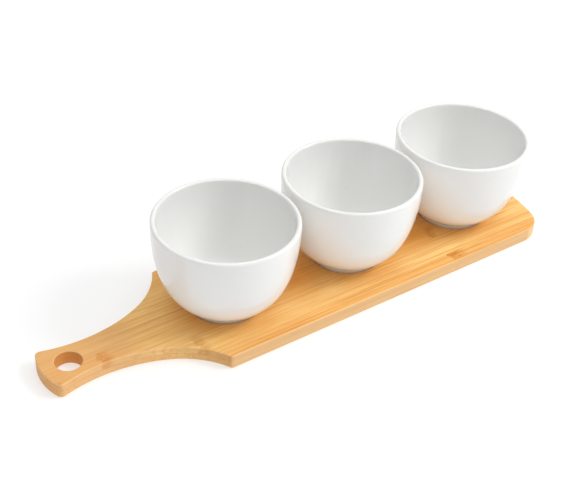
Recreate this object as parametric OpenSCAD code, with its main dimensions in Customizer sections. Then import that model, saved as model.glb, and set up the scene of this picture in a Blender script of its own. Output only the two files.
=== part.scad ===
// Chip and dip server: three white glazed bowls standing in round seats on a
// board of glued bamboo strips, with a waisted handle and a hole to hang it by.
//
// X runs along the board with the handle at -X, Y runs across it and Z is up.
// The origin is the middle of the board's length and width, on its underside.
// Millimetres and degrees.

/* [Board] */
// Overall length, from the tip of the handle to the far end
board_l = 385; // [370:1:420]
// Width across the two long edges
board_w = 100; // [96:1:104]
// Thickness of the two glued layers together
board_t = 10; // [8:0.5:16]
// Radius of the bowed far end
far_bow_r = 135; // [100:5:250]
// Radius of the two corners beside the far end
far_corner_r = 20; // [8:1:28]

/* [Handle] */
// Width at the narrowest point
neck_w = 27; // [24:1:32]
// Distance from the tip of the handle to the narrowest point
neck_from_tip = 34; // [30:1:40]
// Radius of the hollow sides beside the neck
neck_r = 102; // [90:1:115]
// Slope at which the neck's curve hands over to the shoulder's curve
shoulder_slope = 24; // [20:1:26]
// Radius of the hollow curve that runs out to each shoulder
shoulder_r = 59; // [54:1:70]
// Radius that takes the point off each shoulder
shoulder_corner_r = 2.5; // [1:0.5:4]
// Radius of the bowed tip
tip_bow_r = 40; // [30:1:80]
// Radius of the two corners beside the tip
tip_corner_r = 3.5; // [2:0.5:6]
// Diameter of the hanging hole
hole_d = 17; // [8:0.5:18]
// Distance from the tip to the middle of the hanging hole
hole_from_tip = 18; // [16:1:22]

/* [Bamboo strips] */
// Width of one full strip
strip_w = 20; // [18:0.5:21]
// How far the seam nearest the middle lies to one side of the centre line
seam_shift = -1; // [-4:0.5:4]

/* [Bowls] */
// Outside diameter at the rim
bowl_d = 95; // [88:1:98]
// Height from the foot to the rim
bowl_h = 67; // [56:1:80]
// Thickness of the rim, which is a full round
rim_t = 3.4; // [2.6:0.2:4.4]
// Thickness of the middle of the floor, above the hollow inside the foot
floor_t = 5.5; // [5:0.5:8]
// Distance from one bowl to the next
bowl_pitch = 100; // [99:1:104]
// Distance from the far end of the board to the middle of the last bowl
last_bowl_from_end = 54.5; // [52:0.5:60]

/* [Foot and seat] */
// Outside diameter of the ring each bowl stands on
foot_d = 48; // [44:1:54]
// Height of the ring
foot_h = 4.4; // [4:0.1:6]
// Width of the ring's flat underside
foot_ring_w = 4; // [3:0.5:6]
// Height of the hollow inside the ring
foot_hollow_h = 3; // [1:0.5:3.5]
// Chamfer on the lower edges of the ring
foot_chamfer = 0.6; // [0.2:0.2:1]
// Depth of the round seats cut in the board
seat_depth = 2.5; // [1:0.5:3]
// Gap all round between a foot and its seat
seat_gap = 1.5; // [0.5:0.5:2]

/* [Hidden] */

$fn = 160;

// An allowance that carries every cut clear of the face it leaves by
over = 1;

// Arcs that run smoothly into each other are set this much too close, so that
// they cross at one clean point where they would otherwise only graze
hair = 0.01;

// How far a cutter reaches past the arc it follows, and past its corner, in radii
side_reach = 3;
corner_reach = 4.5;

// Board, from the tip at -X to the far end at +X
half_w = board_w / 2;
tip_x = -board_l / 2;
far_x = board_l / 2;
layer_t = board_t / 2;
hole_x = tip_x + hole_from_tip;

// Far end: a shallow bow whose two corners touch it and the long edges
far_bow_x = far_x - far_bow_r;
far_corner = meet([far_bow_x, 0], far_bow_r - far_corner_r + hair, half_w - far_corner_r + hair);

// Handle: the side is one curve round neck_c and, past the joint, another round
// shoulder_c. At the joint they run the same way, square to outward.
neck_c = [tip_x + neck_from_tip, neck_w / 2 + neck_r];
outward = [-sin(shoulder_slope), cos(shoulder_slope)];
joint = neck_c - neck_r * outward;
shoulder_c = joint + (shoulder_r - hair) * outward;
shoulder_corner =
  meet(shoulder_c, shoulder_r + shoulder_corner_r - hair, half_w - shoulder_corner_r + hair);
tip_bow_x = tip_x + tip_bow_r;
tip_corner =
  meet_circles(neck_c, neck_r + tip_corner_r - hair, [tip_bow_x, 0], tip_bow_r - tip_corner_r + hair);

// How far the two curves' cutters lap over each other at the joint, and how far
// out from the centre line the tip's cutter must reach to clear the corners
joint_lap = 7;
tip_waste_y = 0.75 * neck_w;

// Strips: the lower layer's middle strip straddles the centre line, so no two seams meet
top_seams = concat([-half_w], [for (i = [-2:2]) seam_shift + i * strip_w], [half_w]);
bottom_seams = concat([-half_w], [for (i = [-2:1]) (i + 0.5) * strip_w], [half_w]);

// Bowls, numbered from the handle side
bowl_r = bowl_d / 2;
foot_r = foot_d / 2;
last_bowl_x = far_x - last_bowl_from_end;
bowl_x = [for (i = [2:-1:0]) last_bowl_x - i * bowl_pitch];
bowl_z = board_t - seat_depth;
floor_z = foot_hollow_h + floor_t;
rim_z = bowl_h - rim_t / 2;
mouth_r = bowl_r - rim_t;
curve_steps = 16;
rim_steps = 8;

// Outside of a bowl: a small cove over the foot, then which way the belly sets
// off from it, and how far down the wall it has become upright
cove_w = 0.3;
cove_h = 0.8;
belly_pull = [9, 6.8];
outer_pull = 0.215 * bowl_h;

// Inside of a bowl: how far up the wall the curve begins, and, as shares of the
// mouth's radius, where it flattens and where the flat floor starts
inner_pull = bowl_h / 4;
floor_pull_r = 0.68 * mouth_r;
floor_r = 0.18 * mouth_r;

bamboo = [0.96, 0.76, 0.48];
dark_bamboo = [0.91, 0.68, 0.42];
white_glaze = [0.95, 0.95, 0.93];

// The point at height y, on the +X side, of the circle round c of radius r
function meet(c, r, y) = [c[0] + sqrt(r * r - (c[1] - y) * (c[1] - y)), y];

// The point on the -X side where the circle round a of radius ra crosses the one
// round b of radius rb
function meet_circles(a, ra, b, rb) =
  let (
    gap = norm(b - a),
    along = (ra * ra - rb * rb + gap * gap) / (2 * gap),
    aside = sqrt(ra * ra - along * along),
    way = (b - a) / gap
  ) a + along * way + aside * [way[1], -way[0]];

function direction(from, to) = atan2(to[1] - from[1], to[0] - from[0]);
function polar(r, angle) = r * [cos(angle), sin(angle)];

// How far the arc of radius r bows out over a half-width h
function bow_depth(r, h) = r - sqrt(r * r - h * h);

// A smooth curve from a to d that leaves a towards b and reaches d from c
function curve(a, b, c, d, steps) = [
  for (i = [0:steps])
    let (t = i / steps, s = 1 - t)
    s * s * s * a + 3 * s * s * t * b + 3 * s * t * t * c + t * t * t * d
];

// What a round corner of radius r at c takes off, between the two directions in
// which it touches its neighbours
module corner_waste(c, r, from, to) {
  beyond = polar(corner_reach * r, (from + to) / 2);
  difference() {
    translate(c) polygon([[0, 0], polar(side_reach * r, from), beyond, polar(side_reach * r, to)]);
    translate(c) circle(r);
  }
}

// What the handle's hollow side takes off the left half of the board: the neck's
// curve up to the joint, and the shoulder's curve from a little before it
module side_waste() {
  reach = board_l / 2;
  intersection() {
    translate(neck_c) circle(neck_r);
    translate(joint) rotate(shoulder_slope) translate([-reach, -over]) square(reach);
  }
  intersection() {
    translate(shoulder_c) circle(shoulder_r);
    translate(joint) rotate(shoulder_slope) translate([-joint_lap, -over]) square(reach);
  }
}

module far_bow_waste() {
  depth = bow_depth(far_bow_r, half_w) + over;
  difference() {
    translate([far_x - depth, -board_w]) square([depth + over, 2 * board_w]);
    translate([far_bow_x, 0]) circle(far_bow_r);
  }
}

module tip_bow_waste() {
  depth = bow_depth(tip_bow_r, tip_waste_y) + over;
  difference() {
    translate([tip_x - over, -board_w]) square([depth + over, 2 * board_w]);
    translate([tip_bow_x, 0]) circle(tip_bow_r);
  }
}

module board_outline() {
  difference() {
    translate([tip_x, -half_w]) square([board_l, board_w]);
    far_bow_waste();
    tip_bow_waste();
    for (side = [0, 1]) mirror([0, side]) {
      side_waste();
      corner_waste(far_corner, far_corner_r, direction([far_bow_x, 0], far_corner), 90);
      corner_waste(shoulder_corner, shoulder_corner_r, 90, direction(shoulder_corner, shoulder_c));
      corner_waste(tip_corner, tip_corner_r, direction(tip_corner, neck_c),
        direction([tip_bow_x, 0], tip_corner));
    }
    translate([hole_x, 0]) circle(d = hole_d);
  }
}

// One strip of the board, between two seams, with its underside at height z
module strip(seams, i, z) {
  translate([0, 0, z]) linear_extrude(layer_t) intersection() {
    board_outline();
    translate([tip_x - over, seams[i]]) square([board_l + 2 * over, seams[i + 1] - seams[i]]);
  }
}

module seats() {
  for (x = bowl_x)
    translate([x, 0, bowl_z]) cylinder(r = foot_r + seat_gap, h = seat_depth + over);
}

module top_strip(i) {
  difference() {
    strip(top_seams, i, layer_t);
    seats();
  }
}

module bottom_strip(i) {
  strip(bottom_seams, i, 0);
}

// Half the section of a bowl, from the axis out: hollow foot, outside, rim, inside
function bowl_section() =
  let (
    ring_r = foot_r - foot_ring_w,
    belly = [foot_r + cove_w, foot_h]
  ) concat(
    [
      [0, foot_hollow_h],
      [ring_r - foot_chamfer, foot_hollow_h],
      [ring_r, foot_chamfer],
      [ring_r + foot_chamfer, 0],
      [foot_r - foot_chamfer, 0],
      [foot_r, foot_chamfer],
      [foot_r, foot_h - cove_h]
    ],
    curve(belly, belly + belly_pull, [bowl_r, foot_h + outer_pull], [bowl_r, rim_z], curve_steps),
    [
      for (i = [1:rim_steps - 1])
        [bowl_r - rim_t / 2, rim_z] + polar(rim_t / 2, 180 * i / rim_steps)
    ],
    curve([mouth_r, rim_z], [mouth_r, floor_z + inner_pull], [floor_pull_r, floor_z],
      [floor_r, floor_z], curve_steps),
    [[0, floor_z]]
  );

module bowl(i) {
  translate([bowl_x[i], 0, bowl_z]) rotate_extrude() polygon(bowl_section());
}

module right_edge_top_strip() {
  color(dark_bamboo) top_strip(0);
}

module right_outer_top_strip() {
  color(bamboo) top_strip(1);
}

module right_inner_top_strip() {
  color(bamboo) top_strip(2);
}

module left_inner_top_strip() {
  color(bamboo) top_strip(3);
}

module left_outer_top_strip() {
  color(bamboo) top_strip(4);
}

module left_edge_top_strip() {
  color(dark_bamboo) top_strip(5);
}

module right_edge_bottom_strip() {
  color(dark_bamboo) bottom_strip(0);
}

module right_bottom_strip() {
  color(bamboo) bottom_strip(1);
}

module middle_bottom_strip() {
  color(bamboo) bottom_strip(2);
}

module left_bottom_strip() {
  color(bamboo) bottom_strip(3);
}

module left_edge_bottom_strip() {
  color(dark_bamboo) bottom_strip(4);
}

module handle_side_bowl() {
  color(white_glaze) bowl(0);
}

module middle_bowl() {
  color(white_glaze) bowl(1);
}

module far_end_bowl() {
  color(white_glaze) bowl(2);
}

right_edge_top_strip();
right_outer_top_strip();
right_inner_top_strip();
left_inner_top_strip();
left_outer_top_strip();
left_edge_top_strip();
right_edge_bottom_strip();
right_bottom_strip();
middle_bottom_strip();
left_bottom_strip();
left_edge_bottom_strip();
handle_side_bowl();
middle_bowl();
far_end_bowl();
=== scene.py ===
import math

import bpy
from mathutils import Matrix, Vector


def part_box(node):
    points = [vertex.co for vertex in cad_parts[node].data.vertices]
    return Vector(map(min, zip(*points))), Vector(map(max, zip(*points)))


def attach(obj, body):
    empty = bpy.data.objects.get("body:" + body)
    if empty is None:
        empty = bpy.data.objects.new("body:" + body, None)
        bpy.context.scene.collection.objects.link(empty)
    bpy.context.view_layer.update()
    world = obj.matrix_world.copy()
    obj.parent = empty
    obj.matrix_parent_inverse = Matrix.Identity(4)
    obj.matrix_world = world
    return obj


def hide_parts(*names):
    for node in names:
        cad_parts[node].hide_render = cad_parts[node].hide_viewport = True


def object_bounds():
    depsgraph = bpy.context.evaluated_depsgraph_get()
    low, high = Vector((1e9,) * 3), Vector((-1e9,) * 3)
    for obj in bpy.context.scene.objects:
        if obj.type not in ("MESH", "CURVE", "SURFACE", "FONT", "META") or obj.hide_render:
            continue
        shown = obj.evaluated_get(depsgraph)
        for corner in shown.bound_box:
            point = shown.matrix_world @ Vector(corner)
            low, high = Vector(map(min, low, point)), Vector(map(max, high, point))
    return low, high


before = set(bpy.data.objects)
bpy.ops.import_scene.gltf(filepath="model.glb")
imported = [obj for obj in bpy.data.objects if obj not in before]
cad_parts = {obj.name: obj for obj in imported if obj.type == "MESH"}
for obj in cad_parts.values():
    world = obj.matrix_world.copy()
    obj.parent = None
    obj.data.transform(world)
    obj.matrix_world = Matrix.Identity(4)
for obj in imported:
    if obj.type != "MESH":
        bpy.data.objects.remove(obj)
cad_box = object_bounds()

# Chip and dip server: three white glazed dip bowls standing in round seats on a
# long board of glued bamboo strips, with a waisted handle and a hanging hole.
# X runs along the board with the handle at -X, and Z is up. Metres.


# ---- Board blank ----
# The board before its parts are told apart: two layers of bamboo strips pressed
# into one panel, sawn to outline, drilled for hanging, and sanded along its edges.
# Its outline is a chain of arcs that run smoothly into each other.

MM = 0.001

tip_x, far_x = cad_box[0].x, cad_box[1].x
board_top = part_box("right_inner_top_strip")[1].z
half_width = 50 * MM
layer_depth = 5 * MM

NECK_HALF, NECK_FROM_TIP, NECK_R = 13.5 * MM, 34 * MM, 102 * MM
SHOULDER_SLOPE, SHOULDER_R, SHOULDER_CORNER_R = math.radians(24), 59 * MM, 2.5 * MM
TIP_R, TIP_CORNER_R = 40 * MM, 3.5 * MM
FAR_R, FAR_CORNER_R = 135 * MM, 20 * MM
HOLE_FROM_TIP, HOLE_R = 18 * MM, 8.5 * MM
OUTER_ARRIS, SEAT_ARRIS = 0.8 * MM, 0.35 * MM


def deselect_all():
    if bpy.context.object and bpy.context.object.mode == "EDIT":
        bpy.ops.object.mode_set(mode="OBJECT")
    bpy.ops.object.select_all(action="DESELECT")


def start_line(name, point):
    """Starts a line at a point, by merging a small plane, and stays in edit mode."""
    deselect_all()
    bpy.ops.mesh.primitive_plane_add(size=1 * MM)
    bpy.context.object.name = name
    bpy.ops.object.mode_set(mode="EDIT")
    bpy.ops.mesh.select_all(action="SELECT")
    bpy.ops.mesh.merge(type="CENTER")
    bpy.ops.transform.translate(value=point)
    return Vector(point)


def straight_to(pen, point):
    """Draws the line on to a point."""
    bpy.ops.mesh.extrude_region_move(TRANSFORM_OT_translate={"value": Vector(point) - pen})
    return Vector(point)


def sweep_round(pen, centre, turn, steps, axis=(0, 0, 1)):
    """Draws the line on as an arc round a centre; a positive turn is anticlockwise."""
    bpy.ops.mesh.spin(steps=steps, angle=-turn, center=centre, axis=axis)
    return Vector(centre) + Matrix.Rotation(turn, 3, axis) @ (pen - Vector(centre))


def apply_modifier(piece, kind, **settings):
    """Adds one modifier to a piece and applies it."""
    bpy.context.view_layer.objects.active = piece
    modifier = piece.modifiers.new(kind.title(), kind)
    for setting, value in settings.items():
        setattr(modifier, setting, value)
    bpy.ops.object.modifier_apply(modifier=modifier.name)


def heading(start, end):
    return math.atan2(end.y - start.y, end.x - start.x)


def crossing(a, a_r, b, b_r):
    """Where two circles cross, on the -X side."""
    gap = (b - a).length
    along = (a_r**2 - b_r**2 + gap**2) / (2 * gap)
    way = (b - a) / gap
    aside = math.sqrt(a_r**2 - along**2)
    return a + way * along + Vector((way.y, -way.x, 0)) * aside


neck = Vector((tip_x + NECK_FROM_TIP, NECK_HALF + NECK_R, 0))
outward = Vector((-math.sin(SHOULDER_SLOPE), math.cos(SHOULDER_SLOPE), 0))
shoulder = neck - outward * (NECK_R - SHOULDER_R)
corner_y = half_width - SHOULDER_CORNER_R
reach = SHOULDER_R + SHOULDER_CORNER_R
corner_x = shoulder.x + math.sqrt(reach**2 - (shoulder.y - corner_y)**2)
shoulder_corner = Vector((corner_x, corner_y, 0))
tip_bow = Vector((tip_x + TIP_R, 0, 0))
tip_corner = crossing(neck, NECK_R + TIP_CORNER_R, tip_bow, TIP_R - TIP_CORNER_R)
far_bow = Vector((far_x - FAR_R, 0, 0))
far_y = half_width - FAR_CORNER_R
far_corner = Vector((far_bow.x + math.sqrt((FAR_R - FAR_CORNER_R)**2 - far_y**2), far_y, 0))

tip_turn = heading(tip_bow, tip_corner) - math.pi
tip_corner_turn = heading(tip_corner, neck) - heading(tip_bow, tip_corner)
neck_turn = heading(Vector(), -outward) - heading(neck, tip_corner)
shoulder_turn = heading(shoulder, shoulder_corner) - heading(Vector(), -outward)
shoulder_corner_turn = math.pi / 2 - heading(shoulder_corner, shoulder)
far_corner_turn = heading(far_bow, far_corner) - math.pi / 2

pen = start_line("board_blank", (tip_x, 0, 0))
pen = sweep_round(pen, tip_bow, tip_turn, 10)
pen = sweep_round(pen, tip_corner, tip_corner_turn, 7)
pen = sweep_round(pen, neck, neck_turn, 32)
pen = sweep_round(pen, shoulder, shoulder_turn, 24)
pen = sweep_round(pen, shoulder_corner, shoulder_corner_turn, 6)
pen = straight_to(pen, (far_corner.x, half_width, 0))
pen = sweep_round(pen, far_corner, far_corner_turn, 18)
pen = sweep_round(pen, far_bow, -heading(far_bow, far_corner), 14)

bpy.ops.mesh.select_all(action="SELECT")
bpy.ops.mesh.duplicate()
bpy.ops.transform.resize(value=(1, -1, 1), center_override=(0, 0, 0))
bpy.ops.mesh.select_all(action="SELECT")
bpy.ops.mesh.remove_doubles(threshold=0.01 * MM)
bpy.ops.mesh.edge_face_add()
bpy.ops.mesh.extrude_region_move(TRANSFORM_OT_translate={"value": (0, 0, board_top)})
bpy.ops.mesh.select_all(action="SELECT")
bpy.ops.mesh.normals_make_consistent(inside=False)
bpy.ops.object.mode_set(mode="OBJECT")
blank = bpy.context.object


def bore(piece, centre_x, radius, floor_z, steps):
    """Bores a round hole down from above to a height."""
    depth = board_top - floor_z + 1 * MM
    deselect_all()
    bpy.ops.mesh.primitive_cylinder_add(
        vertices=steps, radius=radius, depth=depth, location=(centre_x, 0, floor_z + depth / 2)
    )
    cutter = bpy.context.object
    apply_modifier(piece, "BOOLEAN", operation="DIFFERENCE", object=cutter, solver="EXACT")
    bpy.data.objects.remove(cutter)


def soften(piece, width, sharper_than):
    """Sands every edge that is sharper than an angle to a small round."""
    apply_modifier(
        piece, "BEVEL", width=width, segments=3, limit_method="ANGLE",
        angle_limit=math.radians(sharper_than), use_clamp_overlap=False, loop_slide=False,
    )


bore(blank, tip_x + HOLE_FROM_TIP, HOLE_R, floor_z=-1 * MM, steps=72)
soften(blank, OUTER_ARRIS, sharper_than=50)


# ---- Seats ----
# A round seat under each bowl, milled 2.5 mm into the upper layer, a little wider
# all round than the foot that stands in it, its rim barely softened.

BOWLS = ["handle_side_bowl", "middle_bowl", "far_end_bowl"]
SEAT_R = 25.5 * MM

bowl_x = {}
for bowl in BOWLS:
    low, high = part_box(bowl)
    bowl_x[bowl] = (low.x + high.x) / 2
    seat_floor = low.z
    bore(blank, bowl_x[bowl], SEAT_R, seat_floor, steps=120)
soften(blank, SEAT_ARRIS, sharper_than=70)


# ---- Bamboo strips ----
# Flat lamellae of bamboo, planed and pressed edge to edge in two layers with the
# seams staggered, then oiled. Each keeps its own tone, its long fibres, and the
# brown band of short flecks where the cane had a knuckle.

def srgb(red, green, blue):
    """A colour as it looks, from 0 to 255, as the light it returns."""
    def light(value):
        value /= 255
        return value / 12.92 if value <= 0.04045 else ((value + 0.055) / 1.055) ** 2.4
    return light(red), light(green), light(blue), 1


class Graph:
    """A material's nodes, added and linked in one call each."""

    def __init__(self, name):
        self.material = bpy.data.materials.new(name)
        self.material.use_nodes = True
        self.nodes = self.material.node_tree.nodes
        self.links = self.material.node_tree.links
        self.shader = self.nodes["Principled BSDF"]

    def plug(self, socket, value):
        if isinstance(value, bpy.types.NodeSocket):
            self.links.new(value, socket)
        else:
            socket.default_value = value

    def add(self, kind, *values, **settings):
        node = self.nodes.new("ShaderNode" + kind)
        for setting, value in settings.items():
            setattr(node, setting, value)
        for socket, value in zip(node.inputs, values):
            self.plug(socket, value)
        return node

    def math(self, operation, a, b=0.0):
        return self.add("Math", a, b, operation=operation).outputs[0]

    def ramp(self, value, low, high, to_low=0.0, to_high=1.0):
        """A smooth step from one value to another as the input goes from low to high."""
        node = self.add("MapRange", value, low, high, to_low, to_high)
        node.interpolation_type = "SMOOTHSTEP"
        return node.outputs[0]

    def mix(self, share, a, b):
        """The first colour with a share of the second mixed into it."""
        node = self.nodes.new("ShaderNodeMix")
        node.data_type = "RGBA"
        for socket, value in zip((node.inputs[0], node.inputs[6], node.inputs[7]), (share, a, b)):
            self.plug(socket, value)
        return node.outputs[2]

    def place(self, scale, offset=(0, 0, 0)):
        """Where the surface is on the piece, moved and then stretched."""
        here = self.add("TexCoord").outputs["Object"]
        moved = self.add("VectorMath", here, offset, operation="ADD").outputs[0]
        return self.add("VectorMath", moved, scale, operation="MULTIPLY").outputs[0]

    def noise(self, scale, offset=(0, 0, 0), detail=2.0, roughness=0.5):
        node = self.add("TexNoise", noise_dimensions="3D")
        self.plug(node.inputs["Vector"], self.place(scale, offset))
        self.plug(node.inputs["Scale"], 1.0)
        self.plug(node.inputs["Detail"], detail)
        self.plug(node.inputs["Roughness"], roughness)
        return node.outputs["Fac"]


PALE, HONEY, AMBER = srgb(255, 210, 134), srgb(252, 196, 114), srgb(245, 180, 96)
THREAD_DARK, THREAD_LIGHT = srgb(214, 138, 58), srgb(255, 222, 158)
FIBRE_DARK, FIBRE_LIGHT = srgb(190, 120, 52), srgb(255, 222, 160)
DEEP_HONEY, DEEP_AMBER = srgb(250, 192, 112), srgb(243, 176, 94)
CLOUD, VESSEL = srgb(232, 160, 84), srgb(150, 84, 34)
# The second colour on the next line is painted shade, put on the board round and between the bowls.
HANDLE_TONE, PAINTED_SHADE_TONE = srgb(222, 163, 108), srgb(246, 158, 52)
KNUCKLE_STAIN, KNUCKLE_FLECK = srgb(214, 134, 42), srgb(190, 108, 36)
# The first colour on the next line is painted light: the long sides are made lighter for the light
# they catch.
PAINTED_SIDE_LIGHT, OILED_END, GLUE = srgb(252, 218, 170), srgb(188, 134, 80), srgb(168, 104, 48)
# The colours on the next line are painted light: a highlight for the rounded arrises and shade
# inside the hanging hole.
PAINTED_ARRIS_HIGHLIGHT, PAINTED_HOLE_SHADE = srgb(255, 216, 160), srgb(216, 146, 60)


def bamboo(name, light, dark, cut, knuckles, seed):
    """Oiled bamboo for one strip that runs between two seams, with its knuckles."""
    g = Graph(name)
    spot = g.add("SeparateXYZ", g.add("TexCoord").outputs["Object"]).outputs
    x, y, z = spot[0], spot[1], spot[2]
    shift = (seed * 0.37, seed * 0.11, seed * 0.05)

    # Broad streaks of tone, then the finer fibres that run the length of the cane
    streaks = g.ramp(g.noise((7, 210, 120), shift, 3.0, 0.55), 0.33, 0.68)
    colour = g.mix(streaks, light, dark)
    threads = g.noise((9, 640, 420), shift, 4.0, 0.6)
    colour = g.mix(g.ramp(threads, 0.52, 0.68, 0.0, 0.50), colour, THREAD_DARK)
    colour = g.mix(g.ramp(threads, 0.50, 0.34, 0.0, 0.55), colour, THREAD_LIGHT)
    clouds = g.ramp(g.noise((16, 45, 45), shift, 2.0), 0.35, 0.70)
    colour = g.mix(g.math("MULTIPLY", clouds, 0.30), colour, CLOUD)
    fibres = g.noise((38, 1500, 1500), shift, 3.0, 0.65)
    fibre_dark = g.ramp(fibres, 0.52, 0.72)
    colour = g.mix(g.math("MULTIPLY", fibre_dark, 0.34), colour, FIBRE_DARK)
    fibre_light = g.ramp(fibres, 0.48, 0.30)
    colour = g.mix(g.math("MULTIPLY", fibre_light, 0.22), colour, FIBRE_LIGHT)
    vessels = g.ramp(g.noise((60, 2600, 2600), shift, 1.0, 0.4), 0.66, 0.76)
    colour = g.mix(g.math("MULTIPLY", vessels, 0.30), colour, VESSEL)

    # The cane pales towards the handle. Around and between the bowls the face is painted
    # a darker, more saturated orange: painted shade where the bowls keep the light off it.
    colour = g.mix(g.ramp(x, -118 * MM, -146 * MM, 0.0, 0.55), colour, HANDLE_TONE)
    flat = g.add("CombineXYZ", x, y).outputs[0]
    half_pitch = (bowl_x[BOWLS[1]] - bowl_x[BOWLS[0]]) / 2
    painted_shade_spots = [(bowl_x[bowl], SEAT_R + 24 * MM, SEAT_R, 0.22) for bowl in BOWLS]
    painted_shade_spots += [(bowl_x[bowl] + half_pitch, 38 * MM, 6 * MM, 0.70) for bowl in BOWLS[:2]]
    painted_shade = 0.0
    for centre_x, fades_at, full_at, share in painted_shade_spots:
        centre = (centre_x, 0, 0)
        apart = g.add("VectorMath", flat, centre, operation="DISTANCE").outputs["Value"]
        painted_shade = g.math("MAXIMUM", painted_shade, g.ramp(apart, fades_at, full_at, 0.0, share))
    painted_shade = g.math("MULTIPLY", painted_shade, g.ramp(z, layer_depth + 1 * MM, board_top - 1 * MM))
    colour = g.mix(painted_shade, colour, PAINTED_SHADE_TONE)

    # A knuckle: a stained band that starts sharply, fades, and is full of flecks
    wander = g.noise((30, 260, 120), shift, 2.0)
    along = g.math("ADD", x, g.math("MULTIPLY", g.math("SUBTRACT", wander, 0.5), 9 * MM))
    flecks = g.ramp(g.noise((420, 1300, 1300), shift, 2.0, 0.6), 0.49, 0.58)
    broken = g.ramp(g.noise((50, 620, 500), shift, 2.0), 0.36, 0.60, 0.25, 1.0)
    for at, width, strength, low, high in knuckles:
        rise = g.ramp(along, at - 1.2 * MM, at + 0.6 * MM)
        fall = g.ramp(along, at + width, at + width * 0.3)
        band = g.math("MULTIPLY", rise, fall)
        side = g.math("MULTIPLY", g.ramp(y, low, low + 4 * MM), g.ramp(y, high, high - 4 * MM))
        band = g.math("MULTIPLY", g.math("MULTIPLY", band, side), strength)
        stain = g.math("MULTIPLY", band, broken)
        colour = g.mix(g.math("MULTIPLY", stain, 0.75), colour, KNUCKLE_STAIN)
        specks = g.math("MULTIPLY", band, flecks)
        colour = g.mix(g.math("MULTIPLY", specks, 0.50), colour, KNUCKLE_FLECK)

    # Glue shows as a hair line along each seam and, darker, between the two layers
    off_middle = g.math("ABSOLUTE", g.math("SUBTRACT", z, layer_depth))
    seam = g.ramp(off_middle, 0.32 * MM, 0.06 * MM, 0.0, 0.30)
    for edge in cut:
        off_edge = g.math("ABSOLUTE", g.math("SUBTRACT", y, edge))
        seam = g.math("MAXIMUM", seam, g.ramp(off_edge, 0.28 * MM, 0.08 * MM, 0.0, 0.22))

    # The long sides are painted lighter than the face: painted light for the light they catch.
    # Across the cane, the open fibre ends have drunk more oil. The rounded arrises between them
    # carry a painted highlight.
    facing = g.add("SeparateXYZ", g.add("TexCoord").outputs["Normal"]).outputs
    ends, flanks, level = (g.math("MULTIPLY", way, way) for way in facing)
    upright = g.math("SUBTRACT", 1.0, level)
    side_light_share = g.ramp(x, -98 * MM, -90 * MM, 0.20, 0.55)
    colour = g.mix(g.math("MULTIPLY", flanks, side_light_share), colour, PAINTED_SIDE_LIGHT)
    drunk = g.ramp(x, -180 * MM, -140 * MM, 0.20, 0.70)
    colour = g.mix(g.math("MULTIPLY", ends, drunk), colour, OILED_END)
    colour = g.mix(seam, colour, GLUE)
    # Painted highlight along the rounded arrises, patchy along their length
    arris = g.math("MULTIPLY", g.math("MULTIPLY", level, upright), 4.0)
    arris_highlight_patches = g.ramp(g.noise((60, 300, 300), shift, 2.0), 0.25, 0.7, 0.25, 0.6)
    colour = g.mix(g.math("MULTIPLY", arris, arris_highlight_patches), colour, PAINTED_ARRIS_HIGHLIGHT)

    # Painted shade darkens the wall of the hanging hole
    hole = (tip_x + HOLE_FROM_TIP, 0, 0)
    out = g.add("VectorMath", flat, hole, operation="DISTANCE").outputs["Value"]
    hole_shade = g.math("MULTIPLY", g.ramp(out, HOLE_R + 0.6 * MM, HOLE_R), upright)
    colour = g.mix(g.math("MULTIPLY", hole_shade, 0.7), colour, PAINTED_HOLE_SHADE)
    g.plug(g.shader.inputs["Base Color"], colour)

    # Satin oil that sinks in along the fibres
    sheen = g.math("ADD", g.ramp(fibres, 0.3, 0.7, 0.42, 0.58), g.math("MULTIPLY", arris, 0.08))
    g.plug(g.shader.inputs["Roughness"], sheen)
    g.plug(g.shader.inputs["Specular IOR Level"], 0.22)
    relief = g.math("ADD", fibres, g.math("MULTIPLY", seam, -0.8))
    bump = g.add("Bump")
    g.plug(bump.inputs["Strength"], 0.35)
    g.plug(bump.inputs["Distance"], 0.06 * MM)
    g.plug(bump.inputs["Height"], relief)
    g.plug(g.shader.inputs["Normal"], bump.outputs[0])
    return g.material


def saw(at, across, keep_above):
    """Saws the piece in edit mode along an upright or a level plane and closes the cut."""
    bpy.ops.mesh.select_all(action="SELECT")
    point = (0, at, 0) if across else (0, 0, at)
    normal = (0, 1, 0) if across else (0, 0, 1)
    bpy.ops.mesh.bisect(
        plane_co=point, plane_no=normal, use_fill=True,
        clear_inner=keep_above, clear_outer=not keep_above, threshold=1e-7,
    )


def finish_mesh(piece, smooth_below):
    """Closes the mesh, turns its faces outwards and shades its rounds smoothly."""
    deselect_all()
    piece.select_set(True)
    bpy.context.view_layer.objects.active = piece
    bpy.ops.object.mode_set(mode="EDIT")
    bpy.ops.mesh.select_all(action="SELECT")
    bpy.ops.mesh.remove_doubles(threshold=0.002 * MM)
    bpy.ops.mesh.normals_make_consistent(inside=False)
    bpy.ops.object.mode_set(mode="OBJECT")
    bpy.ops.object.transform_apply(location=True, rotation=True, scale=True)
    bpy.ops.object.shade_smooth_by_angle(angle=math.radians(smooth_below))


def cut_strip(node, low, high, upper):
    """Cuts one strip out of the blank, between two seams and above or below the glue."""
    strip = blank.copy()
    strip.data = blank.data.copy()
    strip.name = node + "_bamboo"
    bpy.context.scene.collection.objects.link(strip)
    deselect_all()
    strip.select_set(True)
    bpy.context.view_layer.objects.active = strip
    bpy.ops.object.mode_set(mode="EDIT")
    saw(layer_depth, across=False, keep_above=upper)
    if low > -half_width:
        saw(low, across=True, keep_above=True)
    if high < half_width:
        saw(high, across=True, keep_above=False)
    finish_mesh(strip, smooth_below=35)
    apply_modifier(strip, "WEIGHTED_NORMAL", keep_sharp=True, weight=100)
    return strip


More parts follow.
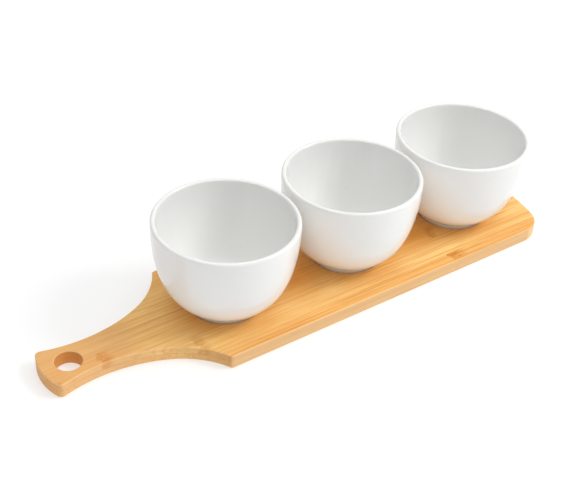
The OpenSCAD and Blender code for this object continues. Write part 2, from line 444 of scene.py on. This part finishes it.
# In mm. The seams are given across the board. Each strip has its light and dark tone,
# then its knuckles: where along the board, how wide, how strong, and from which Y to which.
TOP_SEAMS = [-50, -41, -21, -1, 19, 39, 50]
TOP_STRIPS = [
    ("right_edge_top_strip", DEEP_HONEY, DEEP_AMBER, [(98, 17, 1.0, -50.5, -36)]),
    ("right_outer_top_strip", PALE, HONEY, [(-101, 9, 0.6, -41, -20)]),
    ("right_inner_top_strip", PALE, HONEY, [
        (102, 9, 0.6, -26, -6), (-158, 10, 0.8, -19, -2), (-188.6, 1.6, 0.9, -19, -12),
    ]),
    ("left_inner_top_strip", PALE, HONEY, [(-24, 9, 0.7, -1, 19)]),
    ("left_outer_top_strip", PALE, HONEY, [(88, 9, 0.7, 19, 39)]),
    ("left_edge_top_strip", HONEY, AMBER, [(-40, 10, 0.8, 36, 54)]),
]
BOTTOM_SEAMS = [-50, -30, -10, 10, 30, 50]
BOTTOM_STRIPS = [
    ("right_edge_bottom_strip", PALE, HONEY, [(99, 5, 0.35, -56, -44)]),
    ("right_bottom_strip", PALE, HONEY, [(-48, 9, 0.8, -30, -10)]),
    ("middle_bottom_strip", HONEY, AMBER, [(20, 9, 0.8, -10, 10)]),
    ("left_bottom_strip", PALE, HONEY, [(-70, 9, 0.8, 10, 30)]),
    ("left_edge_bottom_strip", HONEY, AMBER, [(120, 9, 0.8, 28, 54)]),
]

seed = 0
for seams, strips, upper in ((TOP_SEAMS, TOP_STRIPS, True), (BOTTOM_SEAMS, BOTTOM_STRIPS, False)):
    for i, (node, light, dark, knuckles) in enumerate(strips):
        low, high = seams[i] * MM, seams[i + 1] * MM
        seed += 1
        strip = cut_strip(node, low, high, upper)
        cane = [
            (at * MM, width * MM, strength, from_y * MM, to_y * MM)
            for at, width, strength, from_y, to_y in knuckles
        ]
        strip.data.materials.clear()
        strip.data.materials.append(bamboo(node + "_finish", light, dark, (low, high), cane, seed))
        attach(strip, "board")
        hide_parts(node)
bpy.data.objects.remove(blank)


# ---- Dip bowls ----
# Slip-cast white ceramic under a gloss glaze: a full round rim, an upright wall
# that turns in to a low foot ring, and a shallow hollow inside the ring. The
# ring's underside is wiped clean of glaze and stands loose in the board's seat.

# In mm, with heights from the underside of the foot
BOWL_R, RIM_R, RIM_Z = 47.5, 1.7, 65.3
MOUTH_R = BOWL_R - 2 * RIM_R
FLOOR_R, FLOOR_Z = 7.94, 8.5
HOLLOW_R, HOLLOW_Z = 16.5, 3.0
FOOT_R, RING_INNER_R, FOOT_ROUND = 24.2, 20.0, 0.7
FOOT_WALL_Z = 2.9
HEEL_R, HEEL_Z = FOOT_R + 0.5, 4.5
TURN_STEPS = 144


def bend_to(pen, pull_a, pull_b, end, steps, place):
    """Draws the line on as a smooth curve, leaving towards pull_a and arriving from pull_b."""
    start = pen.copy()
    for i in range(1, steps + 1):
        t, s = i / steps, 1 - i / steps
        point = (start * s**3 + place(*pull_a) * (3 * s * s * t)
                 + place(*pull_b) * (3 * s * t * t) + place(*end) * t**3)
        pen = straight_to(pen, point)
    return pen


def turn_bowl(node):
    """Draws half the bowl's section and turns it round the bowl's axis."""
    low, axis_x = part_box(node)[0], bowl_x[node]

    def place(out, up):
        return Vector((axis_x + out * MM, 0, low.z + up * MM))

    across = (0, -1, 0)
    pen = start_line(node + "_glazed", place(0, HOLLOW_Z))
    for out in (6, 12, HOLLOW_R):
        pen = straight_to(pen, place(out, HOLLOW_Z))

    # Down into the ring, round its two lower edges and up its outer wall
    pen = bend_to(pen, (18.9, HOLLOW_Z), (19.4, 2.4), (RING_INNER_R, FOOT_ROUND), 6, place)
    pen = sweep_round(pen, place(RING_INNER_R + FOOT_ROUND, FOOT_ROUND), math.pi / 2, 5, across)
    pen = straight_to(pen, place(FOOT_R - FOOT_ROUND, 0))
    pen = sweep_round(pen, place(FOOT_R - FOOT_ROUND, FOOT_ROUND), math.pi / 2, 5, across)
    pen = straight_to(pen, place(FOOT_R, FOOT_WALL_Z))

    # The cove above the ring, the belly and upright wall, the rim, and the inside
    pen = bend_to(pen, (FOOT_R, 3.6), (FOOT_R - 0.2, 4.0), (HEEL_R, HEEL_Z), 8, place)
    pen = bend_to(pen, (FOOT_R + 9.3, 11.2), (BOWL_R, 18.8), (BOWL_R, RIM_Z), 30, place)
    pen = sweep_round(pen, place(BOWL_R - RIM_R, RIM_Z), math.pi, 12, across)
    pen = bend_to(pen, (MOUTH_R, 25.2), (30.0, FLOOR_Z), (FLOOR_R, FLOOR_Z), 30, place)
    pen = straight_to(pen, place(4, FLOOR_Z))
    pen = straight_to(pen, place(0, FLOOR_Z))

    bpy.ops.mesh.select_all(action="SELECT")
    bpy.ops.mesh.spin(steps=TURN_STEPS, angle=2 * math.pi, center=place(0, 0), axis=(0, 0, 1))
    piece = bpy.context.object
    finish_mesh(piece, smooth_below=50)
    return piece


GLAZE, GLAZE_FLOW, GLAZE_LIP = srgb(241, 241, 239), srgb(238, 239, 236), srgb(246, 243, 236)
# The first two colours on the next line are painted light: a browner shade line for the cove above
# the foot and a warm reflected glow for the foot.
PAINTED_COVE_SHADE, PAINTED_FOOT_REFLECTION, SPECK = srgb(206, 190, 170), srgb(255, 244, 230), srgb(168, 160, 148)
CLAY_LIGHT, CLAY_DARK = srgb(226, 216, 200), srgb(196, 184, 166)


def glaze(name, foot_z, seed):
    """White gloss glaze over pale clay, bare under the foot."""
    g = Graph(name)
    spot = g.add("SeparateXYZ", g.add("TexCoord").outputs["Object"]).outputs
    shift = (seed * 0.29, seed * 0.17, 0)
    flow = g.ramp(g.noise((22, 22, 14), shift, 3.0), 0.3, 0.7)
    colour = g.mix(g.math("MULTIPLY", flow, 0.5), GLAZE, GLAZE_FLOW)

    # The glaze thins on the lip. A painted shade line, a little browner, lies in the cove
    # above the foot, and the foot itself is painted warmer and lighter as painted reflected light
    # from the wood
    rise = g.math("SUBTRACT", spot[2], foot_z)
    lip = g.ramp(rise, (RIM_Z + 0.3) * MM, (RIM_Z + RIM_R) * MM, 0.0, 0.35)
    colour = g.mix(lip, colour, GLAZE_LIP)
    # Painted shade line in the cove above the foot
    cove_shade = g.math("MULTIPLY", g.ramp(rise, 3.4 * MM, 4.0 * MM), g.ramp(rise, 5.6 * MM, 4.3 * MM))
    colour = g.mix(g.math("MULTIPLY", cove_shade, 0.2), colour, PAINTED_COVE_SHADE)
    # Painted reflected light: the foot made warmer and lighter
    colour = g.mix(g.ramp(rise, 4.2 * MM, 3.4 * MM, 0.0, 0.8), colour, PAINTED_FOOT_REFLECTION)

    # Pinholes and iron specks, few and faint
    specks = g.ramp(g.noise((900, 900, 900), shift, 1.0, 0.3), 0.765, 0.80)
    colour = g.mix(g.math("MULTIPLY", specks, 0.25), colour, SPECK)

    # Bare clay under the foot, scuffed where it stands
    ragged = g.math("ADD", rise, g.math("MULTIPLY", g.noise((300, 300, 300), shift, 2.0), 0.5 * MM))
    bare = g.ramp(ragged, 1.05 * MM, 0.85 * MM)
    grain = g.noise((2200, 2200, 2200), shift, 3.0, 0.7)
    clay = g.mix(g.ramp(grain, 0.35, 0.7), CLAY_LIGHT, CLAY_DARK)
    colour = g.mix(bare, colour, clay)
    g.plug(g.shader.inputs["Base Color"], colour)

    # Gloss that varies a little, over the gentle ripple of a dipped glaze
    shine = g.ramp(g.noise((60, 60, 60), shift, 3.0), 0.3, 0.7, 0.09, 0.16)
    shine = g.math("ADD", g.math("MULTIPLY", bare, 0.6), shine)
    g.plug(g.shader.inputs["Roughness"], shine)
    g.plug(g.shader.inputs["IOR"], 1.5)
    rough_clay = g.math("MULTIPLY", g.math("MULTIPLY", bare, grain), 0.6)
    ripple = g.math("ADD", g.noise((110, 110, 80), shift, 2.0), rough_clay)
    bump = g.add("Bump")
    g.plug(bump.inputs["Strength"], 0.25)
    g.plug(bump.inputs["Distance"], 0.12 * MM)
    g.plug(bump.inputs["Height"], ripple)
    g.plug(g.shader.inputs["Normal"], bump.outputs[0])
    return g.material


def copy_along(piece, distance):
    """Copies a finished piece, with a mesh of its own, some way along X."""
    deselect_all()
    twin = piece.copy()
    twin.data = piece.data.copy()
    bpy.context.scene.collection.objects.link(twin)
    twin.select_set(True)
    bpy.context.view_layer.objects.active = twin
    bpy.ops.transform.translate(value=(distance, 0, 0))
    bpy.ops.object.transform_apply(location=True, rotation=False, scale=False)
    return twin


bowls = [turn_bowl(BOWLS[0])]
for node in BOWLS[1:]:
    bowls.append(copy_along(bowls[0], bowl_x[node] - bowl_x[BOWLS[0]]))
for seed, (node, bowl) in enumerate(zip(BOWLS, bowls)):
    bowl.name = node + "_glazed"
    bowl.data.materials.clear()
    bowl.data.materials.append(glaze(node + "_finish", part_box(node)[0].z, seed + 1))
    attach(bowl, node)
    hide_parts(node)


# ---- Table, light and camera ----
# A plain white table that glows softly, so that shadows stay faint. A big soft lamp
# stands to the right, a broad one hangs overhead, a weak one stands low in front,
# and the room round them is a plain grey that grows lighter towards its ceiling.

TABLE_SIZE, TABLE_BELOW = 40, 0.2 * MM
TABLE_WHITE, TABLE_GLOW = srgb(190, 190, 190), 0.51

deselect_all()
bpy.ops.mesh.primitive_plane_add(size=TABLE_SIZE, location=(0, 0, -TABLE_BELOW))
table = bpy.context.object
table.name = "table"
g = Graph("white_table")
g.plug(g.shader.inputs["Base Color"], TABLE_WHITE)
g.plug(g.shader.inputs["Roughness"], 0.9)
g.plug(g.shader.inputs["Emission Color"], (1, 1, 1, 1))
g.plug(g.shader.inputs["Emission Strength"], TABLE_GLOW)
table.data.materials.append(g.material)

WALL_GLOW, CEILING_GLOW = 0.33, 0.68
ROOM_WHITE = (0.99, 0.995, 1.0, 1)

world = bpy.data.worlds.new("white_room")
bpy.context.scene.world = world
world.use_nodes = True
nodes, links = world.node_tree.nodes, world.node_tree.links
room = nodes["Background"]
room.inputs["Color"].default_value = ROOM_WHITE
up = nodes.new("ShaderNodeSeparateXYZ")
links.new(nodes.new("ShaderNodeTexCoord").outputs["Generated"], up.inputs[0])
brighter = nodes.new("ShaderNodeMapRange")
links.new(up.outputs["Z"], brighter.inputs["Value"])
brighter.inputs["To Min"].default_value = WALL_GLOW
brighter.inputs["To Max"].default_value = CEILING_GLOW
links.new(brighter.outputs[0], room.inputs["Strength"])


def soft_lamp(name, place, power, size):
    """A square soft lamp that faces the middle of the server."""
    aim = Vector((0, 0, 30 * MM)) - Vector(place)
    turn = aim.to_track_quat("-Z", "Y").to_euler()
    bpy.ops.object.light_add(type="AREA", location=place, rotation=turn)
    lamp = bpy.context.object
    lamp.name = name
    lamp.data.energy, lamp.data.size = power, size


soft_lamp("right_lamp", (1.0, -0.68, 1.2), power=12, size=0.6)
soft_lamp("overhead_lamp", (0.1, 0.1, 1.6), power=7, size=1.4)
soft_lamp("front_lamp", (-0.5, -1.25, 0.3), power=1.3, size=1.1)

YAW, LOOK_DOWN, ROLL = math.radians(-37.388), math.radians(36.868), math.radians(3.605)
EYE = Vector((-365.71, -459.57, 464.40)) * MM
LENS = 68.40

bpy.ops.object.camera_add()
camera = bpy.context.object
camera.name = "camera"
camera.data.lens = LENS
camera.data.clip_start, camera.data.clip_end = 0.01, 50
camera.matrix_world = (
    Matrix.Translation(EYE) @ Matrix.Rotation(YAW, 4, "Z")
    @ Matrix.Rotation(math.pi / 2 - LOOK_DOWN, 4, "X") @ Matrix.Rotation(ROLL, 4, "Z")
)
bpy.context.scene.camera = camera
bpy.context.scene.view_settings.view_transform = "Standard"
